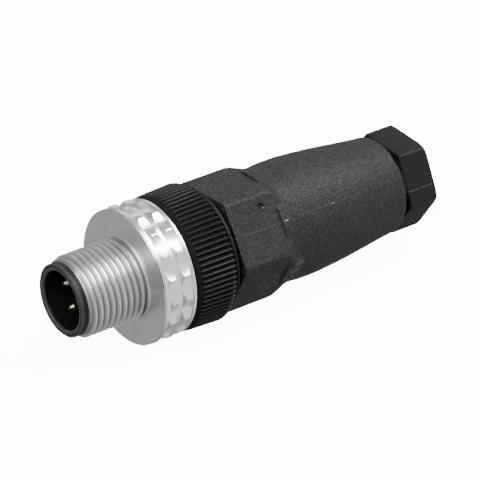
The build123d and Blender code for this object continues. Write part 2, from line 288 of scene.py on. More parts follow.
def linear(code):
    """Turn an sRGB hex colour into the linear values that Blender works with."""
    parts = [int(code[i:i + 2], 16) / 255 for i in (1, 3, 5)]
    return tuple(c / 12.92 if c <= 0.04045 else ((c + 0.055) / 1.055) ** 2.4 for c in parts)


class ConnectorSizes(bpy.types.PropertyGroup):
    """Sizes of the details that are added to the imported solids."""
    thread_pitch: FloatProperty(
        name="Thread pitch", description="Advance of the coupling thread in one turn",
        default=1.0 * MM, min=0.5 * MM, max=2.0 * MM, unit="LENGTH", precision=5)
    thread_angle: FloatProperty(
        name="Thread angle", description="Where the coupling thread's crest starts round the axis",
        default=radians(-126.0), subtype="ANGLE")
    neck_pitch: FloatProperty(
        name="Neck thread pitch", description="Advance of the housing on the grip body in one turn",
        default=1.0 * MM, min=0.5 * MM, max=2.0 * MM, unit="LENGTH", precision=5)
    gland_pitch: FloatProperty(
        name="Gland thread pitch", description="Advance of the pressure nut in one turn",
        default=1.27 * MM, min=0.5 * MM, max=2.0 * MM, unit="LENGTH", precision=5)
    facet_ridge: FloatProperty(
        name="Facet ridge radius", description="Radius of the ridges of the gripping facets",
        default=10.14 * MM, min=10.0 * MM, max=10.2 * MM, unit="LENGTH", precision=5)
    rib_angle: FloatProperty(
        name="Rib angle", description="Angle of the first rib about the axis",
        default=radians(-0.8), subtype="ANGLE")
    gate_depth: FloatProperty(
        name="Gate mark depth", description="Depth of the round gate mark in the housing's flat",
        default=0.3 * MM, min=0.0, max=0.5 * MM, unit="LENGTH", precision=5)
    thread_steps: IntProperty(
        name="Thread steps", description="Segments in one turn of each thread",
        default=108, min=36, max=216)


class ConnectorFinish(bpy.types.PropertyGroup):
    """Colours of the finishes."""
    nickel: FloatVectorProperty(
        name="Nickel plating", description="Satin nickel plating on the coupling nut",
        default=linear("#d8d8d7"), size=3, subtype="COLOR", min=0, max=1)
    carrier: FloatVectorProperty(
        name="Carrier plastic", description="Black insulating plastic of the rim and insert",
        default=linear("#333333"), size=3, subtype="COLOR", min=0, max=1)
    grip: FloatVectorProperty(
        name="Grip plastic", description="Black polyamide of the ribbed body",
        default=linear("#1c1c1c"), size=3, subtype="COLOR", min=0, max=1)
    housing: FloatVectorProperty(
        name="Housing plastic", description="Dark grey polyamide of the housing",
        default=linear("#1e1e1f"), size=3, subtype="COLOR", min=0, max=1)
    gland: FloatVectorProperty(
        name="Gland nut plastic", description="Dark grey polyamide of the pressure nut",
        default=linear("#121212"), size=3, subtype="COLOR", min=0, max=1)
    gold: FloatVectorProperty(
        name="Contact gold", description="Thin pale gold plating on the contacts",
        default=linear("#e6e0d0"), size=3, subtype="COLOR", min=0, max=1)
    rubber: FloatVectorProperty(
        name="Seal rubber", description="Nitrile rubber of the seals",
        default=linear("#1a1a1a"), size=3, subtype="COLOR", min=0, max=1)
    floor: FloatVectorProperty(
        name="Floor", description="Pale studio floor",
        default=linear("#f6f6f6"), size=3, subtype="COLOR", min=0, max=1)


def on_circle(station, radius, angle):
    """Point in metres at a station and radius, at an angle in degrees from -Y towards +Z."""
    return Vector((station, -radius * cos(radians(angle)), radius * sin(radians(angle)))) * MM


def round_circle(angle):
    """Direction in which the angle grows, at an angle in degrees."""
    return Vector((0, sin(radians(angle)), cos(radians(angle))))


def polar(point):
    """Station and radius in millimetres and angle in degrees of a point in metres."""
    return point.x / MM, hypot(point.y, point.z) / MM, degrees(atan2(point.z, -point.y))


def off_angle(angle, centre):
    """Signed difference of two angles in degrees, within half a turn."""
    return (angle - centre + 180) % 360 - 180


def set_radius(vert, radius):
    """Move a vertex out or in to a radius in millimetres."""
    scale = radius * MM / hypot(vert.co.y, vert.co.z)
    vert.co.y *= scale
    vert.co.z *= scale


def turned(bm, outline, steps, closed=True, start=0.0):
    """Spin an outline of (station, radius) about X, from an angle in degrees."""
    verts = [bm.verts.new(on_circle(station, radius, start)) for station, radius in outline]
    edges = [bm.edges.new(pair) for pair in zip(verts, verts[1:])]
    if closed:
        edges.append(bm.edges.new((verts[-1], verts[0])))
    bmesh.ops.spin(
        bm, geom=verts + edges, cent=(0, 0, 0), axis=(1, 0, 0), dvec=(0, 0, 0),
        angle=2 * pi, steps=steps, use_merge=True, use_duplicate=False)
    bmesh.ops.remove_doubles(bm, verts=bm.verts, dist=WELD)


def thread(bm, front, rear, radius, pitch, angle, steps):
    """Wind a 60-degree thread between two stations; returns its front and rear edge loops."""
    depth = THREAD_DEPTH * pitch
    ease = CREST_EASE * pitch
    profile = [(0, -depth), (ROOT_END, -depth), (CREST_FOOT, -ease), (CREST_START, 0),
               (1 - CREST_START, 0), (1 - CREST_FOOT, -ease), (1 - ROOT_END, -depth), (1, -depth)]
    first = front - (SPARE_TURNS + off_angle(angle, 0) / 360) * pitch
    verts = [bm.verts.new(on_circle(first + share * pitch, radius + drop, 0))
             for share, drop in profile]
    edges = [bm.edges.new(pair) for pair in zip(verts, verts[1:])]
    turns = ceil((rear - front) / pitch) + 2 * SPARE_TURNS
    bmesh.ops.spin(
        bm, geom=verts + edges, cent=(0, 0, 0), axis=(1, 0, 0),
        dvec=(pitch * MM / steps, 0, 0), angle=2 * pi * turns, steps=steps * turns,
        use_merge=False, use_duplicate=False)
    bmesh.ops.remove_doubles(bm, verts=bm.verts, dist=WELD)
    loops = []
    for station, outward in ((front, -1), (rear, 1)):
        geom = list(bm.verts) + list(bm.edges) + list(bm.faces)
        cut = bmesh.ops.bisect_plane(
            bm, geom=geom, dist=WELD / 10, plane_co=(station * MM, 0, 0),
            plane_no=(outward, 0, 0), clear_outer=True, clear_inner=False)
        loops.append([e for e in cut["geom_cut"] if isinstance(e, bmesh.types.BMEdge)])
    return [[e for e in loop if e.is_valid] for loop in loops]


def chamfered(bm, end, end_radius):
    """Cut a thread back to a 45-degree cone that has a radius at one of the thread's ends."""
    for vert in bm.verts:
        station, radius, _ = polar(vert.co)
        limit = end_radius + abs(station - end)
        if radius > limit:
            set_radius(vert, limit)


def joined(bm, loop, station, radius):
    """Bridge a thread's open end to the open edge of a turned shape at a station and radius."""
    loop = {e for e in loop if e.is_valid}
    found = []
    for edge in bm.edges:
        if not edge.is_boundary or edge in loop:
            continue
        places = [polar(v.co) for v in edge.verts]
        if all(abs(p[0] - station) < SAME_STATION and abs(p[1] - radius) < SAME_RADIUS
               for p in places):
            found.append(edge)
    bmesh.ops.bridge_loops(bm, edges=list(loop) + found)


def hexagon_radius(angle, flats, fillet, middle):
    """Distance from the axis to a hexagon with filleted corners, at an angle in degrees."""
    from_corner = abs(off_angle(angle - middle - 30, 60 * round((angle - middle - 30) / 60)))
    centre = flats / 2 / cos(pi / 6) - fillet / sin(pi / 3)
    reach = degrees(atan2(fillet * sin(pi / 6), centre + fillet * cos(pi / 6)))
    if from_corner < reach:
        side = centre * sin(radians(from_corner))
        return centre * cos(radians(from_corner)) + sqrt(fillet ** 2 - side ** 2)
    return flats / 2 / cos(radians(30 - from_corner))


def finished(bm, name, body, material, nodes, sharp=32):
    """Turn a bmesh into a named piece that rides on a body and stands for its CAD nodes."""
    bmesh.ops.remove_doubles(bm, verts=bm.verts, dist=WELD)
    bmesh.ops.dissolve_degenerate(bm, edges=bm.edges, dist=WELD)
    bmesh.ops.recalc_face_normals(bm, faces=bm.faces)
    loose = [e for e in bm.edges if not e.link_faces]
    bmesh.ops.delete(bm, geom=loose, context="EDGES")
    mesh = bpy.data.meshes.new(name)
    bm.to_mesh(mesh)
    bm.free()
    mesh.shade_smooth()
    mesh.set_sharp_from_angle(angle=radians(sharp))
    mesh.materials.append(material)
    piece = bpy.data.objects.new(name, mesh)
    bpy.context.scene.collection.objects.link(piece)
    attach(piece, body)
    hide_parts(*nodes)
    return piece


def add_node(tree, kind, inputs=None, **settings):
    """Add a node to a tree with its settings, and set or link its inputs."""
    node = tree.nodes.new(kind)
    for key, value in settings.items():
        setattr(node, key, value)
    for key, value in (inputs or {}).items():
        if isinstance(value, bpy.types.NodeSocket):
            tree.links.new(value, node.inputs[key])
        else:
            node.inputs[key].default_value = value
    return node


def new_finish(name):
    """Start a material: its tree, its shader and the object coordinates."""
    material = bpy.data.materials.new(name)
    material.use_nodes = True
    tree = material.node_tree
    shader = tree.nodes["Principled BSDF"]
    place = add_node(tree, "ShaderNodeTexCoord").outputs["Object"]
    return material, tree, shader, place


def noise(tree, place, size, detail=2.0, roughness=0.5):
    """Noise whose lumps are about a size in millimetres across."""
    return add_node(
        tree, "ShaderNodeTexNoise", {"Vector": place, "Scale": 1 / (size * MM), "Detail": detail,
                                     "Roughness": roughness}).outputs["Fac"]


def rgba(value):
    """Red, green, blue and alpha of a colour, or of a grey that is given as one number."""
    return (value, value, value, 1) if isinstance(value, (int, float)) else (*value[:3], 1)


def ramp(tree, factor, stops):
    """Colour ramp from (position, grey value or colour) stops."""
    node = add_node(tree, "ShaderNodeValToRGB", {"Fac": factor})
    node.color_ramp.elements[0].position = stops[0][0]
    node.color_ramp.elements[1].position = stops[-1][0]
    for position, _ in stops[1:-1]:
        node.color_ramp.elements.new(position)
    for element, (_, value) in zip(node.color_ramp.elements, stops):
        element.color = rgba(value)
    return node.outputs["Color"]


def mix_colour(tree, factor, first, second):
    """Mix two colours or greys by a factor."""
    inputs = {0: factor}
    for index, value in ((6, first), (7, second)):
        inputs[index] = value if isinstance(value, bpy.types.NodeSocket) else rgba(value)
    return add_node(tree, "ShaderNodeMix", inputs, data_type="RGBA").outputs[2]


def maths(tree, operation, first, second=0.0):
    """Result of one operation on two values."""
    return add_node(tree, "ShaderNodeMath", {0: first, 1: second}, operation=operation).outputs[0]


def fades(tree, value, full, none):
    """One up to a value, then falling to zero at another."""
    return add_node(tree, "ShaderNodeMapRange", {
        "Value": value, "From Min": full, "From Max": none, "To Min": 1.0,
        "To Max": 0.0}).outputs["Result"]


def within(tree, value, zone):
    """Fade of a value in metres between the two limits of a zone in millimetres."""
    return fades(tree, value, zone[0] * MM, zone[1] * MM)


def line_at(tree, value, middle, zone):
    """Line where a value in metres is near a middle in millimetres, as wide as the zone says."""
    away = maths(tree, "ABSOLUTE", maths(tree, "SUBTRACT", value, middle * MM))
    return within(tree, away, zone)


def station_of(tree, place):
    """Distance of a place along the X axis."""
    return add_node(tree, "ShaderNodeSeparateXYZ", {"Vector": place}).outputs["X"]


def from_axis(tree, place):
    """Distance of a place from the X axis."""
    split = add_node(tree, "ShaderNodeSeparateXYZ", {"Vector": place})
    flat = add_node(tree, "ShaderNodeCombineXYZ",
                    {"Y": split.outputs["Y"], "Z": split.outputs["Z"]}).outputs["Vector"]
    return add_node(tree, "ShaderNodeVectorMath", {0: flat}, operation="LENGTH").outputs["Value"]


def turned_off(tree, place, angle):
    """How far a place is turned about the X axis from an angle in degrees, in radians."""
    split = add_node(tree, "ShaderNodeSeparateXYZ", {"Vector": place})
    round_axis = maths(tree, "ARCTAN2", split.outputs["Z"],
                       maths(tree, "MULTIPLY", split.outputs["Y"], -1.0))
    return maths(tree, "ABSOLUTE", maths(tree, "SUBTRACT", round_axis, radians(angle)))


def parting_line(tree, place, angle):
    """Thin broken line along the axis, where the two halves of the mould met."""
    half = SEAM_WIDTH / 2 / SEAM_RADIUS
    line = fades(tree, turned_off(tree, place, angle), half / 2, half)
    broken = ramp(tree, noise(tree, place, SEAM_BREAKS, 2), [(0.4, 0.25), (0.62, 1)])
    return maths(tree, "MULTIPLY", line, broken)


def spots(tree, place, marks, broken):
    """Marks as (station, radius, angle, reach), whole or broken up by a fine noise."""
    mask = 0.0
    for station, radius, angle, reach in marks:
        away = add_node(tree, "ShaderNodeVectorMath",
                        {0: place, 1: on_circle(station, radius, angle)}, operation="DISTANCE")
        near = within(tree, away.outputs["Value"], (reach * 0.4, reach))
        mask = maths(tree, "MAXIMUM", near, mask)
    if broken:
        rubbed = ramp(tree, noise(tree, place, SCUFF_BREAKS, 3), [(0.48, 0), (0.6, 1)])
        mask = maths(tree, "MULTIPLY", mask, rubbed)
    return mask


def satin_nickel(colour):
    """Nickel plating on brass, blasted to a satin sheen: grey metal with a soft wide highlight.

    The thread and the flange's face are the most matt and the facets smoother. The facets and the
    thread's crests get a lighter copy of the nickel as a painted highlight, the crests being
    smoother too, and the thread's roots get a painted shade. The blasted grain is too fine to show
    at its real
    0.03 mm, so it is drawn at NICKEL_GRAIN.
    """
    material, tree, shader, place = new_finish("satin_nickel_plating")
    along = station_of(tree, place)
    out = from_axis(tree, place)
    cloud = noise(tree, place, NICKEL_CLOUD, 4)
    grain = noise(tree, place, NICKEL_GRAIN, 3, 0.7)
    # A lighter copy of the nickel is painted as a highlight on the facets and crests, and a darker
    # one is painted as shade
    dull, highlight_nickel, shade_nickel = (tuple(min(1, c * share) for c in colour) for share in NICKEL_SHARES)
    matt_no_highlight = within(tree, along, FLANGE_FACE_ZONE)
    wound = within(tree, along, THREAD_ZONE)
    # Painted highlight on the thread's crests, which are also made smoother
    crest = maths(tree, "SUBTRACT", wound, within(tree, out, UNDER_CREST_ZONE))
    # Painted shade in the thread's roots
    painted_root_shade = maths(tree, "MULTIPLY", wound, within(tree, out, ROOT_ZONE))
    painted_root_shade = maths(tree, "MULTIPLY", painted_root_shade, ROOT_SHADE)
    # Two fine lines: a short one in the flange's edge that is a painted dark reflection, and a
    # faint darker one right round it
    ends = fades(tree, turned_off(tree, place, DARK_EDGE_REFLECTION_ANGLE), *map(radians, DARK_EDGE_REFLECTION_ENDS))
    edge = maths(tree, "MULTIPLY", line_at(tree, along, DARK_EDGE_REFLECTION, DARK_EDGE_REFLECTION_ZONE), ends)
    score = line_at(tree, along, SCORE_LINE, SCORE_LINE_ZONE)
    score = maths(tree, "MULTIPLY", score, SCORE_SHADE)
    shade = maths(tree, "MAXIMUM", maths(tree, "MAXIMUM", painted_root_shade, edge), score)
    tint = mix_colour(tree, matt_no_highlight, highlight_nickel, ramp(tree, cloud, [(0.3, dull), (0.65, colour)]))
    tint = mix_colour(tree, crest, tint, highlight_nickel)
    tint = mix_colour(tree, shade, tint, shade_nickel)
    tree.links.new(tint, shader.inputs["Base Color"])
    smooth = ramp(tree, grain, [(0.3, 0.18), (0.7, 0.3)])
    blasted = ramp(tree, grain, [(0.3, 0.32), (0.7, 0.48)])
    rough = mix_colour(tree, crest, mix_colour(tree, matt_no_highlight, smooth, blasted), 0.2)
    tree.links.new(rough, shader.inputs["Roughness"])
    shader.inputs["Metallic"].default_value = 1.0
    bump = add_node(tree, "ShaderNodeBump",
                    {"Height": grain, "Strength": 0.25, "Distance": 0.02 * MM})
    tree.links.new(bump.outputs["Normal"], shader.inputs["Normal"])
    return material


def moulded_plastic(name, colour, rough, grain_size, grain_depth, spread, gloss=0.22,
                    seam=None, seam_share=0.22, scuffs=(), shaded_hollows=(), specks_and_glints=(), groove=None,
                    gaps=None, mouth=None):
    """Injection-moulded plastic: dull, with a fine eroded grain and the marks that it shows.

    Spread is how far the grain lightens and darkens the colour, seam the parting line's angle,
    groove the radius of a turned groove that is painted black as its shade, gaps the zones of
    radius and station that are painted black as shade, and mouth the zone of station past which a
    bore is painted black as shade. The hollows given are painted black as shade, and the specks can
    include a painted glint.
    """
    material, tree, shader, place = new_finish(name)
    grain = noise(tree, place, grain_size, 3, 0.6)
    cloud = noise(tree, place, PLASTIC_CLOUD, 3)
    lighter = tuple(min(1, c * (1 + spread)) for c in colour)
    darker = tuple(c * (1 - spread) for c in colour)
    tint = ramp(tree, grain, [(0.38, darker), (0.62, lighter)])
    tint = mix_colour(tree, ramp(tree, cloud, [(0.35, 0.0), (0.7, 0.25)]), tint, lighter)
    shine = ramp(tree, grain, [(0.3, rough + 0.1), (0.7, rough - 0.1)])
    height = grain
    if seam is not None:
        line = maths(tree, "MULTIPLY", parting_line(tree, place, seam), seam_share)
        tint = mix_colour(tree, line, tint, linear(SEAM_GREY))
    # Hollows get painted shade, and the specks can include a painted glint
    for marks, code, share, broken in (
        (scuffs, SCUFF_GREY, SCUFF_SHADE, True),
        (shaded_hollows, HOLLOW_SHADE_BLACK, 1.0, False),
        (specks_and_glints, SPECK_AND_GLINT_GREY, 1.0, False),
    ):
        if marks:
            mask = maths(tree, "MULTIPLY", spots(tree, place, marks, broken), share)
            tint = mix_colour(tree, mask, tint, linear(code))
    # The groove is a bump, painted black as its shade
    if groove is not None:
        cut = line_at(tree, from_axis(tree, place), groove, GROOVE_ZONE)
        tint = mix_colour(tree, cut, tint, linear(GROOVE_SHADE_BLACK))
        height = maths(tree, "SUBTRACT", height, maths(tree, "MULTIPLY", cut, GROOVE_DEPTH))
    # Painted shade in the gaps
    if gaps is not None:
        painted_gap_shade = maths(tree, "MULTIPLY", within(tree, from_axis(tree, place), gaps[0]),
                     within(tree, station_of(tree, place), gaps[1]))
        tint = mix_colour(tree, painted_gap_shade, tint, linear(GAP_SHADE_BLACK))
        shine = mix_colour(tree, painted_gap_shade, shine, 1.0)
    # Painted shade in the bore behind the mouth
    if mouth is not None:
        outside = within(tree, station_of(tree, place), mouth)
        tint = mix_colour(tree, outside, linear(HOLLOW_SHADE_BLACK), tint)
    tree.links.new(tint, shader.inputs["Base Color"])
    tree.links.new(shine, shader.inputs["Roughness"])
    shader.inputs["Specular IOR Level"].default_value = gloss
    bump = add_node(tree, "ShaderNodeBump",
                    {"Height": height, "Strength": 0.8, "Distance": grain_depth * MM})
    tree.links.new(bump.outputs["Normal"], shader.inputs["Normal"])
    return material


def plain_metal(name, colour, rough):
    """Machined or plated metal whose fine grain is drawn at METAL_GRAIN, so that it shows."""
    material, tree, shader, place = new_finish(name)
    grain = noise(tree, place, METAL_GRAIN, 2)
    tree.links.new(ramp(tree, grain, [(0.3, tuple(c * 0.85 for c in colour)), (0.7, colour)]),
                   shader.inputs["Base Color"])
    tree.links.new(ramp(tree, grain, [(0.3, rough - 0.05), (0.7, rough + 0.08)]),
                   shader.inputs["Roughness"])
    shader.inputs["Metallic"].default_value = 1.0
    return material


class CONNECTOR_OT_coupling_nut(bpy.types.Operator):
    """Build the coupling nut: wound thread, relief and the flange with its two rows of facets"""
    bl_idname = "connector.coupling_nut"
    bl_label = "Coupling Nut"

    def execute(self, context):
        sizes = context.scene.connector_sizes
        finish = context.scene.connector_finish
        steps = FACET_COUNT * FACET_SEGMENTS
        bm = bmesh.new()
        front_loop, rear_loop = thread(
            bm, THREAD_FRONT, THREAD_REAR, THREAD_RADIUS, sizes.thread_pitch / MM,
            degrees(sizes.thread_angle), sizes.thread_steps)
        chamfered(bm, THREAD_FRONT, THREAD_RADIUS - THREAD_CHAMFER)
        outline = [
            (RELIEF_FRONT, RELIEF_RADIUS), (BOSS_FRONT, RELIEF_RADIUS),
            (BOSS_FRONT, BOSS_RADIUS - BOSS_EDGE), (BOSS_FRONT + BOSS_EDGE, BOSS_RADIUS),
            (FLANGE_FRONT, BOSS_RADIUS), (FLANGE_FRONT, FLANGE_RADIUS - FLANGE_EDGE),
            (FLANGE_FRONT + FLANGE_EDGE, FLANGE_RADIUS), (FRONT_ROW[0], FLANGE_RADIUS),
            (FRONT_ROW[0], FACET_FLOOR), (FRONT_ROW[1], FACET_FLOOR),
            (REAR_ROW[0], FACET_FLOOR), (REAR_ROW[1], FACET_FLOOR),
            (REAR_ROW[1], FLANGE_RADIUS), (FLANGE_REAR - REAR_EDGE, FLANGE_RADIUS),
            (FLANGE_REAR, FLANGE_RADIUS - REAR_EDGE), (FLANGE_REAR, SEAL_RECESS_RADIUS),
            (FLANGE_REAR - SEAL_RECESS_DEPTH, SEAL_RECESS_RADIUS),
            (FLANGE_REAR - SEAL_RECESS_DEPTH, NUT_BORE), (THREAD_FRONT, NUT_BORE),
        ]
        turned(bm, outline, steps, closed=False,
               start=FACET_ANGLE + 180 / FACET_COUNT - 180 / steps)
        joined(bm, front_loop, THREAD_FRONT, NUT_BORE)
        joined(bm, rear_loop, RELIEF_FRONT, RELIEF_RADIUS)
        for low, high in (FRONT_ROW, REAR_ROW):
            self.raise_facets(bm, low, high, sizes.facet_ridge / MM)
        finished(bm, "coupling_nut_plated", "coupling",
                 satin_nickel(finish.nickel), ["coupling_nut"], sharp=24)
        return {"FINISHED"}

    def raise_facets(self, bm, low, high, ridge):
        """Raise one hipped facet from every group of faces of a row, leaving a narrow valley."""
        middle = (low + high) / 2
        floor = []
        for face in bm.faces:
            station, radius, angle = polar(face.calc_center_median())
            if low < station < high and abs(radius - FACET_FLOOR) < SAME_RADIUS:
                floor.append((face, angle))
        spread = 180 / FACET_COUNT * (1 - 1 / FACET_SEGMENTS)
        for index in range(FACET_COUNT):
            centre = FACET_ANGLE + index * 360 / FACET_COUNT
            region = [face for face, angle in floor if abs(off_angle(angle, centre)) < spread]
            if len(region) != FACET_SEGMENTS - 1:
                raise RuntimeError(f"facet {index} has {len(region)} faces")
            made = bmesh.ops.extrude_face_region(bm, geom=region)
            bmesh.ops.delete(bm, geom=[f for f in region if f.is_valid], context="FACES_ONLY")
            for vert in [v for v in made["geom"] if isinstance(v, bmesh.types.BMVert)]:
                station, _, angle = polar(vert.co)
                along = middle + FACET_RIDGE_HALF * (1 if station > middle else -1)
                across = off_angle(angle, centre) / spread * FACET_TOP_HALF
                vert.co = on_circle(along, ridge, centre) + round_circle(centre) * across * MM


class CONNECTOR_OT_grip_body(bpy.types.Operator):
    """Build the grip body: shoulder, 78 ribs, disc and threaded neck"""
    bl_idname = "connector.grip_body"
    bl_label = "Grip Body"

    def execute(self, context):
        sizes = context.scene.connector_sizes
        finish = context.scene.connector_finish
        bm = bmesh.new()
        front_loop, rear_loop = thread(
            bm, NECK_THREAD_FRONT, NECK_THREAD_REAR, NECK_RADIUS, sizes.neck_pitch / MM, 0,
            sizes.thread_steps)
        chamfered(bm, NECK_THREAD_REAR, NECK_RADIUS - NECK_CHAMFER)
        outline = [
            (NECK_THREAD_REAR, COLLAR_RADIUS), (BODY_FRONT, COLLAR_RADIUS),
            (BODY_FRONT, SHOULDER_RADIUS), (BAND_FRONT, BAND_RADIUS - BAND_EDGE_DROP),
            (BAND_FRONT + BAND_EDGE, BAND_RADIUS), (RIB_FRONT, BAND_RADIUS),
        ]
        outline += [(RIB_FRONT + past, RIB_ROOT) for past in RIB_NOSE_ROWS]
        outline += [(RIB_REAR - short, RIB_ROOT) for short in RIB_TAIL_ROWS]
        outline += [
            (RIB_REAR, RECESS_RADIUS), (RIB_REAR + RECESS_LENGTH, RECESS_RADIUS),
            (LAND_FRONT, DISC_RADIUS - LAND_EDGE), (LAND_FRONT + LAND_EDGE, DISC_RADIUS),
            (DISC_REAR - DISC_EDGE, DISC_RADIUS), (DISC_REAR, DISC_RADIUS - DISC_EDGE),
            (DISC_REAR, NECK_ROOT), (NECK_THREAD_FRONT, NECK_ROOT),
        ]
        turned(bm, outline, RIB_COUNT * RIB_SEGMENTS, closed=False,
               start=degrees(sizes.rib_angle))
        joined(bm, front_loop, NECK_THREAD_FRONT, NECK_ROOT)
        joined(bm, rear_loop, NECK_THREAD_REAR, COLLAR_RADIUS)
        self.raise_ribs(bm, degrees(sizes.rib_angle))
        # Moulded black polyamide: dull, so that only the ribs' crests and the disc's edge catch the
        # light;
        # the gaps between and in front of the ribs are painted black as shade. Its grain is drawn
        # coarse enough to show.
        plastic = moulded_plastic(
            "moulded_black_polyamide", finish.grip, rough=0.5, grain_size=0.16,
            grain_depth=0.012, spread=0.2, specks_and_glints=RIB_SPECKS,
            gaps=(RIB_GAP_RADII, RIB_GAP_STATIONS))
        finished(bm, "grip_body_ribbed", "carrier_body", plastic, ["grip_body"])
        return {"FINISHED"}

    def raise_ribs(self, bm, start):
        """Raise the ribs out of the turned root, with a nose at the front and eased rear ends."""
        pitch = 360 / RIB_COUNT
        for vert in bm.verts:
            station, radius, angle = polar(vert.co)
            beside = not RIB_FRONT < station <= RIB_REAR + SAME_STATION
            if beside or abs(radius - RIB_ROOT) > SAME_RADIUS:
                continue
            share = (angle - start) / pitch
            column = round(abs(share - round(share)) * RIB_SEGMENTS)
            along = (station - RIB_FRONT) / (RIB_REAR - RIB_FRONT)
            crest = RIB_FRONT_RADIUS + (RIB_REAR_RADIUS - RIB_FRONT_RADIUS) * along
            nose = min(1, (station - RIB_FRONT) / RIB_NOSE)
            crest = BAND_RADIUS + (crest - BAND_RADIUS) * sin(nose * pi / 2)
            tail = max(0, 1 - (RIB_REAR - station) / RIB_TAIL)
            crest -= RIB_TAIL_DROP * tail ** 2
            set_radius(vert, RIB_ROOT + (crest - RIB_ROOT) * RIB_PROFILE[column])


class CONNECTOR_OT_housing(bpy.types.Operator):
    """Build the housing: hexagon with rounded corners and a waisted barrel, bored through"""
    bl_idname = "connector.housing"
    bl_label = "Housing"

    def execute(self, context):
        sizes = context.scene.connector_sizes
        finish = context.scene.connector_finish
        rows = [HOUSING_FRONT, HOUSING_FRONT + HOUSING_EDGE / 2, HOUSING_FRONT + HOUSING_EDGE,
                *GATE_ROWS, CORNER_REAR, *HEX_ROWS]
        outline = [(HOUSING_FRONT, THREAD_BORE_RADIUS), (HOUSING_FRONT, FRONT_FACE_ROW)]
        outline += [(station, CORNER_RADIUS) for station in rows]
        outline += [(BEVEL_REAR, BARREL_RADIUS), *BARREL_PROFILE]
        outline += [
            (HOUSING_REAR, BARREL_END_RADIUS),
            (HOUSING_REAR, GLAND_BORE_RADIUS + GLAND_BORE_EDGE),
            (HOUSING_REAR - GLAND_BORE_EDGE, GLAND_BORE_RADIUS),
            (SEAL_BORE_REAR, GLAND_BORE_RADIUS), (SEAL_BORE_REAR, SEAL_BORE_RADIUS),
            (THROAT_REAR, SEAL_BORE_RADIUS), (THROAT_REAR, THROAT_RADIUS),
            (THROAT_FRONT, THROAT_RADIUS), (CHAMBER_REAR, CHAMBER_RADIUS),
            (THREAD_BORE_REAR, CHAMBER_RADIUS), (THREAD_BORE_REAR, THREAD_BORE_RADIUS),
        ]
        bm = bmesh.new()
        turned(bm, outline, HOUSING_SEGMENTS)
        self.cut_hexagon(bm)
        self.press_gate(bm, sizes.gate_depth)
        # Polyamide from a spark-eroded mould: dull dark grey with a light and dark speckle. The
        # real grain is about 0.1 mm and is drawn at 0.36 mm, so that it shows.
        # The gate mark gets painted shade in its hollow and a painted highlight on its rim
        plastic = moulded_plastic(
            "eroded_grey_polyamide", finish.housing, rough=0.5, grain_size=0.36,
            grain_depth=0.16, spread=0.6, seam=HEX_ANGLE, scuffs=HOUSING_SCUFFS,
            shaded_hollows=GATE_HOLLOW_SHADE, specks_and_glints=SEAM_SPECKS_AND_GATE_GLINT)
        finished(bm, "housing_moulded", "housing_body", plastic, ["housing"])
        return {"FINISHED"}

    def cut_hexagon(self, bm):
        """Cut the turned front to a hexagon with coned corners, which steps out to the barrel."""
        for vert in bm.verts:
            station, radius, angle = polar(vert.co)
            if radius < BORES_BELOW or station > BEVEL_REAR - SAME_STATION:
                continue
            cone = max(0, (station - CORNER_REAR) / (BEVEL_REAR - CORNER_REAR))
            cone = CORNER_RADIUS - (CORNER_RADIUS - BARREL_RADIUS) * cone
            limit = min(cone, hexagon_radius(angle, HEX_FLATS, HEX_FILLET, HEX_ANGLE))
            rise = min(1, max(0, (station - STEP_FRONT) / STEP_LENGTH))
            limit = max(limit, BARREL_RADIUS - STEP_HEIGHT * (1 + cos(rise * pi)) / 2)
            drop = HOUSING_EDGE - (station - HOUSING_FRONT)
            if drop > 0:
                limit -= HOUSING_EDGE - sqrt(max(0, HOUSING_EDGE ** 2 - drop ** 2))
            if radius > limit:
                set_radius(vert, limit)

    def press_gate(self, bm, depth):
        """Sink the round gate mark into one flat of the hexagon."""
        gate = on_circle(GATE_STATION, HEX_FLATS / 2, HEX_ANGLE)
        gate += round_circle(HEX_ANGLE) * GATE_OFFSET * MM
        outward = on_circle(0, 1, HEX_ANGLE).normalized()
        for vert in bm.verts:
            away = (vert.co - gate).length / MM
            if away < GATE_RADIUS:
                share = min(1, (GATE_RADIUS - away) / GATE_WALL)
                vert.co -= outward * depth * share


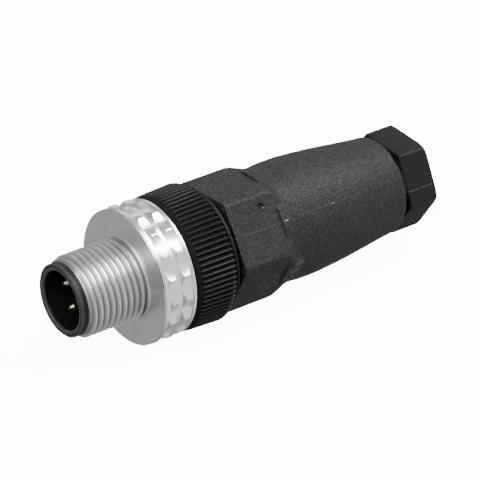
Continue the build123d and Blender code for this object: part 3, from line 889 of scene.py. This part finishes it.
class CONNECTOR_OT_pressure_nut(bpy.types.Operator):
    """Build the pressure nut: hexagon with bowed edges, washer face and threaded neck"""
    bl_idname = "connector.pressure_nut"
    bl_label = "Pressure Nut"

    def execute(self, context):
        sizes = context.scene.connector_sizes
        finish = context.scene.connector_finish
        corner = NUT_FLATS / 2 / cos(pi / 6)
        bm = bmesh.new()
        front_loop, rear_loop = thread(
            bm, NUT_THREAD_FRONT, NUT_THREAD_REAR, NUT_THREAD_RADIUS, sizes.gland_pitch / MM, 0,
            sizes.thread_steps)
        chamfered(bm, NUT_THREAD_FRONT, NUT_THREAD_RADIUS - NUT_THREAD_CHAMFER)
        outline = [
            (NUT_THREAD_REAR, NUT_THREAD_ROOT), (NUT_FACE_FRONT, NUT_THREAD_ROOT),
            (NUT_FACE_FRONT, NUT_FACE_RADIUS - NUT_FACE_EDGE),
            (NUT_FACE_FRONT + NUT_FACE_EDGE, NUT_FACE_RADIUS), (NUT_FRONT, NUT_FACE_RADIUS),
        ]
        outline += [(NUT_FRONT + past, corner - under) for past, under in NUT_FRONT_EASE]
        outline += [(NUT_REAR - short, corner - under) for short, under in NUT_REAR_EASE]
        outline += [
            (NUT_REAR, NUT_END_RADIUS), (NUT_REAR, NUT_BORE_RADIUS + NUT_MOUTH),
            (NUT_REAR - NUT_MOUTH_EASE[0], NUT_BORE_RADIUS + NUT_MOUTH_EASE[1]),
            (NUT_REAR - NUT_MOUTH, NUT_BORE_RADIUS), (NUT_FRONT, NUT_BORE_RADIUS),
            (NUT_CONE_FRONT, NUT_NECK_BORE), (NUT_THREAD_FRONT, NUT_NECK_BORE),
        ]
        turned(bm, outline, NUT_SEGMENTS, closed=False)
        joined(bm, front_loop, NUT_THREAD_FRONT, NUT_NECK_BORE)
        joined(bm, rear_loop, NUT_THREAD_REAR, NUT_THREAD_ROOT)
        self.cut_hexagon(bm)
        # Smooth moulded polyamide: near black with an even sheen and a pale parting line, with
        # next to no grain. What grain there is is drawn coarse enough to show.
        plastic = moulded_plastic(
            "moulded_grey_polyamide", finish.gland, rough=0.45, grain_size=0.2,
            grain_depth=0.025, spread=0.3, gloss=0.17, seam=NUT_SEAM_ANGLE, seam_share=0.5)
        finished(bm, "pressure_nut_moulded", "gland_nut", plastic,
                 ["pressure_nut"])
        return {"FINISHED"}

    def cut_hexagon(self, bm):
        """Cut the turned head to a hexagon whose ends are eased."""
        for vert in bm.verts:
            station, radius, angle = polar(vert.co)
            if radius < NUT_BORES_BELOW or station < NUT_FRONT - SAME_STATION:
                continue
            limit = hexagon_radius(angle, NUT_FLATS, NUT_FILLET, NUT_ANGLE)
            limit -= max(0, NUT_EDGE - min(station - NUT_FRONT, NUT_REAR - station))
            if radius > limit:
                set_radius(vert, limit)


class CONNECTOR_OT_inner_pieces(bpy.types.Operator):
    """Give the solids that keep their shape their finishes"""
    bl_idname = "connector.inner_pieces"
    bl_label = "Inner Pieces"

    def execute(self, context):
        finish = context.scene.connector_finish
        # Glass-filled nylon: black and a little rough, so that its rim turns grey in the light,
        # with a turned groove round the rim that is a bump painted black as its shade, and painted
        # shade in the bore behind it
        carrier = moulded_plastic(
            "glass_filled_black_nylon", finish.carrier, rough=0.5, grain_size=0.3,
            grain_depth=0.05, spread=0.4, groove=RIM_GROOVE, mouth=MOUTH_ZONE)
        # Nitrile rubber: matt black with hardly any shine
        rubber = moulded_plastic(
            "nitrile_rubber", finish.rubber, rough=0.6, grain_size=0.3, grain_depth=0.01,
            spread=0.15)
        # Acetal: black, and smoother than the polyamide round it
        cage = moulded_plastic(
            "moulded_black_acetal", linear("#1d1d1d"), rough=0.35, grain_size=0.2,
            grain_depth=0.008, spread=0.15)
        # Gold on brass: a pale warm metal whose pin tips catch a small bright light
        gold = plain_metal("gold_plated_brass", finish.gold, rough=0.22)
        # Zinc on steel: light grey and half bright
        steel = plain_metal("zinc_plated_steel", linear("#b9bcbf"), rough=0.32)
        # Phosphate on spring steel: dark grey with a soft shine
        spring = plain_metal("phosphated_spring_steel", linear("#5d5f61"), rough=0.38)
        kept = {
            "contact_carrier": (carrier, "carrier_plastic"),
            "friction_ring": (rubber, "seal_rubber"),
            "retaining_clip": (spring, "spring_steel"),
            "housing_seal": (rubber, "seal_rubber"),
            "gland_seal": (rubber, "seal_rubber"),
            "clamping_cage": (cage, "cage_plastic"),
        }
        for index in range(1, 5):
            kept[f"contact_pin_{index}"] = (gold, "contact_gold")
            kept[f"terminal_screw_{index}"] = (steel, "screw_steel")
        for name, (material, slot) in kept.items():
            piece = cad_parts[name]
            if not piece.material_slots:
                raise RuntimeError(f"{name} has no material slot")
            for place in piece.material_slots:
                place.material = material
        return {"FINISHED"}


class CONNECTOR_OT_stage(bpy.types.Operator):
    """Set up the pale floor, the soft studio lights and the camera"""
    bl_idname = "connector.stage"
    bl_label = "Stage"

    def execute(self, context):
        scene = context.scene
        finish = scene.connector_finish
        self.camera(scene)
        self.floor(scene, finish.floor)
        self.lights(scene)
        return {"FINISHED"}

    def camera(self, scene):
        """Camera at the photographed viewing angle, framed for a 480 by 480 picture."""
        azimuth = radians(CAMERA_AZIMUTH)
        elevation = radians(CAMERA_ELEVATION)
        away = Vector((sin(azimuth) * cos(elevation), -cos(azimuth) * cos(elevation),
                       sin(elevation)))
        data = bpy.data.cameras.new("studio_camera")
        data.sensor_width = CAMERA_SENSOR
        data.lens = CAMERA_LENS
        data.clip_start = CAMERA_CLIP * MM
        camera = bpy.data.objects.new("studio_camera", data)
        camera.location = (Vector(CAMERA_TARGET) + away * CAMERA_DISTANCE) * MM
        camera.rotation_euler = (-away).to_track_quat("-Z", "Y").to_euler()
        scene.collection.objects.link(camera)
        scene.camera = camera

    def floor(self, scene, colour):
        """Wide light table that the ribs rest on: it glows white, and throws no light on them."""
        material, tree, shader, place = new_finish("white_light_table")
        cloud = noise(tree, place, TABLE_CLOUD, 4)
        shaded = tuple(c * 0.985 for c in colour)
        tree.links.new(ramp(tree, cloud, [(0.2, shaded), (0.8, colour)]),
                       shader.inputs["Base Color"])
        shader.inputs["Roughness"].default_value = 0.9
        shader.inputs["Emission Color"].default_value = (1, 1, 1, 1)
        shader.inputs["Emission Strength"].default_value = TABLE_GLOW
        bm = bmesh.new()
        bmesh.ops.create_grid(bm, x_segments=2, y_segments=2, size=TABLE_HALF * MM)
        middle = Vector(PART_MIDDLE) * MM
        middle.z = -RIB_REAR_RADIUS * MM
        bmesh.ops.translate(bm, verts=bm.verts, vec=middle)
        mesh = bpy.data.meshes.new("studio_floor")
        bm.to_mesh(mesh)
        bm.free()
        mesh.materials.append(material)
        floor = bpy.data.objects.new("studio_floor", mesh)
        floor.visible_diffuse = False
        floor.visible_glossy = False
        scene.collection.objects.link(floor)

    def lights(self, scene):
        """Soft boxes round the part, and a surround that is lightest in front on the right."""
        world = bpy.data.worlds.new("studio_surround")
        world.use_nodes = True
        tree = world.node_tree
        heading = add_node(tree, "ShaderNodeTexCoord").outputs["Generated"]
        toward = add_node(tree, "ShaderNodeVectorMath", {0: heading, 1: SURROUND_SIDE},
                          operation="DOT_PRODUCT").outputs["Value"]
        share = add_node(tree, "ShaderNodeMapRange",
                         {"Value": toward, "From Min": -1.0, "From Max": 1.0})
        shade = ramp(tree, share.outputs["Result"], SURROUND_GREYS)
        tree.links.new(shade, tree.nodes["Background"].inputs["Color"])
        tree.nodes["Background"].inputs["Strength"].default_value = 1.0
        scene.world = world
        for name, place, width, depth, power in SOFT_BOXES:
            data = bpy.data.lights.new(name, "AREA")
            data.shape = "RECTANGLE"
            data.size = width * MM
            data.size_y = depth * MM
            data.energy = power
            light = bpy.data.objects.new(name, data)
            light.location = Vector(place) * MM
            aim = Vector(PART_MIDDLE) - Vector(place)
            light.rotation_euler = aim.to_track_quat("-Z", "Y").to_euler()
            scene.collection.objects.link(light)


class CONNECTOR_PT_sidebar(bpy.types.Panel):
    """Panel that lists the connector's pieces, sizes and finishes"""
    bl_idname = "CONNECTOR_PT_sidebar"
    bl_label = "M12 Circular Connector"
    bl_space_type = "VIEW_3D"
    bl_region_type = "UI"
    bl_category = "Connector"

    def draw(self, context):
        for operator in OPERATORS:
            self.layout.operator(operator.bl_idname)
        for group in (context.scene.connector_sizes, context.scene.connector_finish):
            box = self.layout.box()
            for name in group.__annotations__:
                box.prop(group, name)


OPERATORS = (
    CONNECTOR_OT_stage,
    CONNECTOR_OT_coupling_nut,
    CONNECTOR_OT_grip_body,
    CONNECTOR_OT_housing,
    CONNECTOR_OT_pressure_nut,
    CONNECTOR_OT_inner_pieces,
)
CLASSES = (ConnectorSizes, ConnectorFinish) + OPERATORS + (CONNECTOR_PT_sidebar,)


def register():
    """Register the classes and hang the settings on the scene."""
    for item in CLASSES:
        bpy.utils.register_class(item)
    bpy.types.Scene.connector_sizes = PointerProperty(type=ConnectorSizes)
    bpy.types.Scene.connector_finish = PointerProperty(type=ConnectorFinish)


def unregister():
    """Take the settings and the classes away again."""
    del bpy.types.Scene.connector_finish
    del bpy.types.Scene.connector_sizes
    for item in reversed(CLASSES):
        bpy.utils.unregister_class(item)


def main():
    """Build every piece and the stage."""
    register()
    bpy.ops.connector.stage()
    bpy.ops.connector.coupling_nut()
    bpy.ops.connector.grip_body()
    bpy.ops.connector.housing()
    bpy.ops.connector.pressure_nut()
    bpy.ops.connector.inner_pieces()


if __name__ == "__main__":
    main()
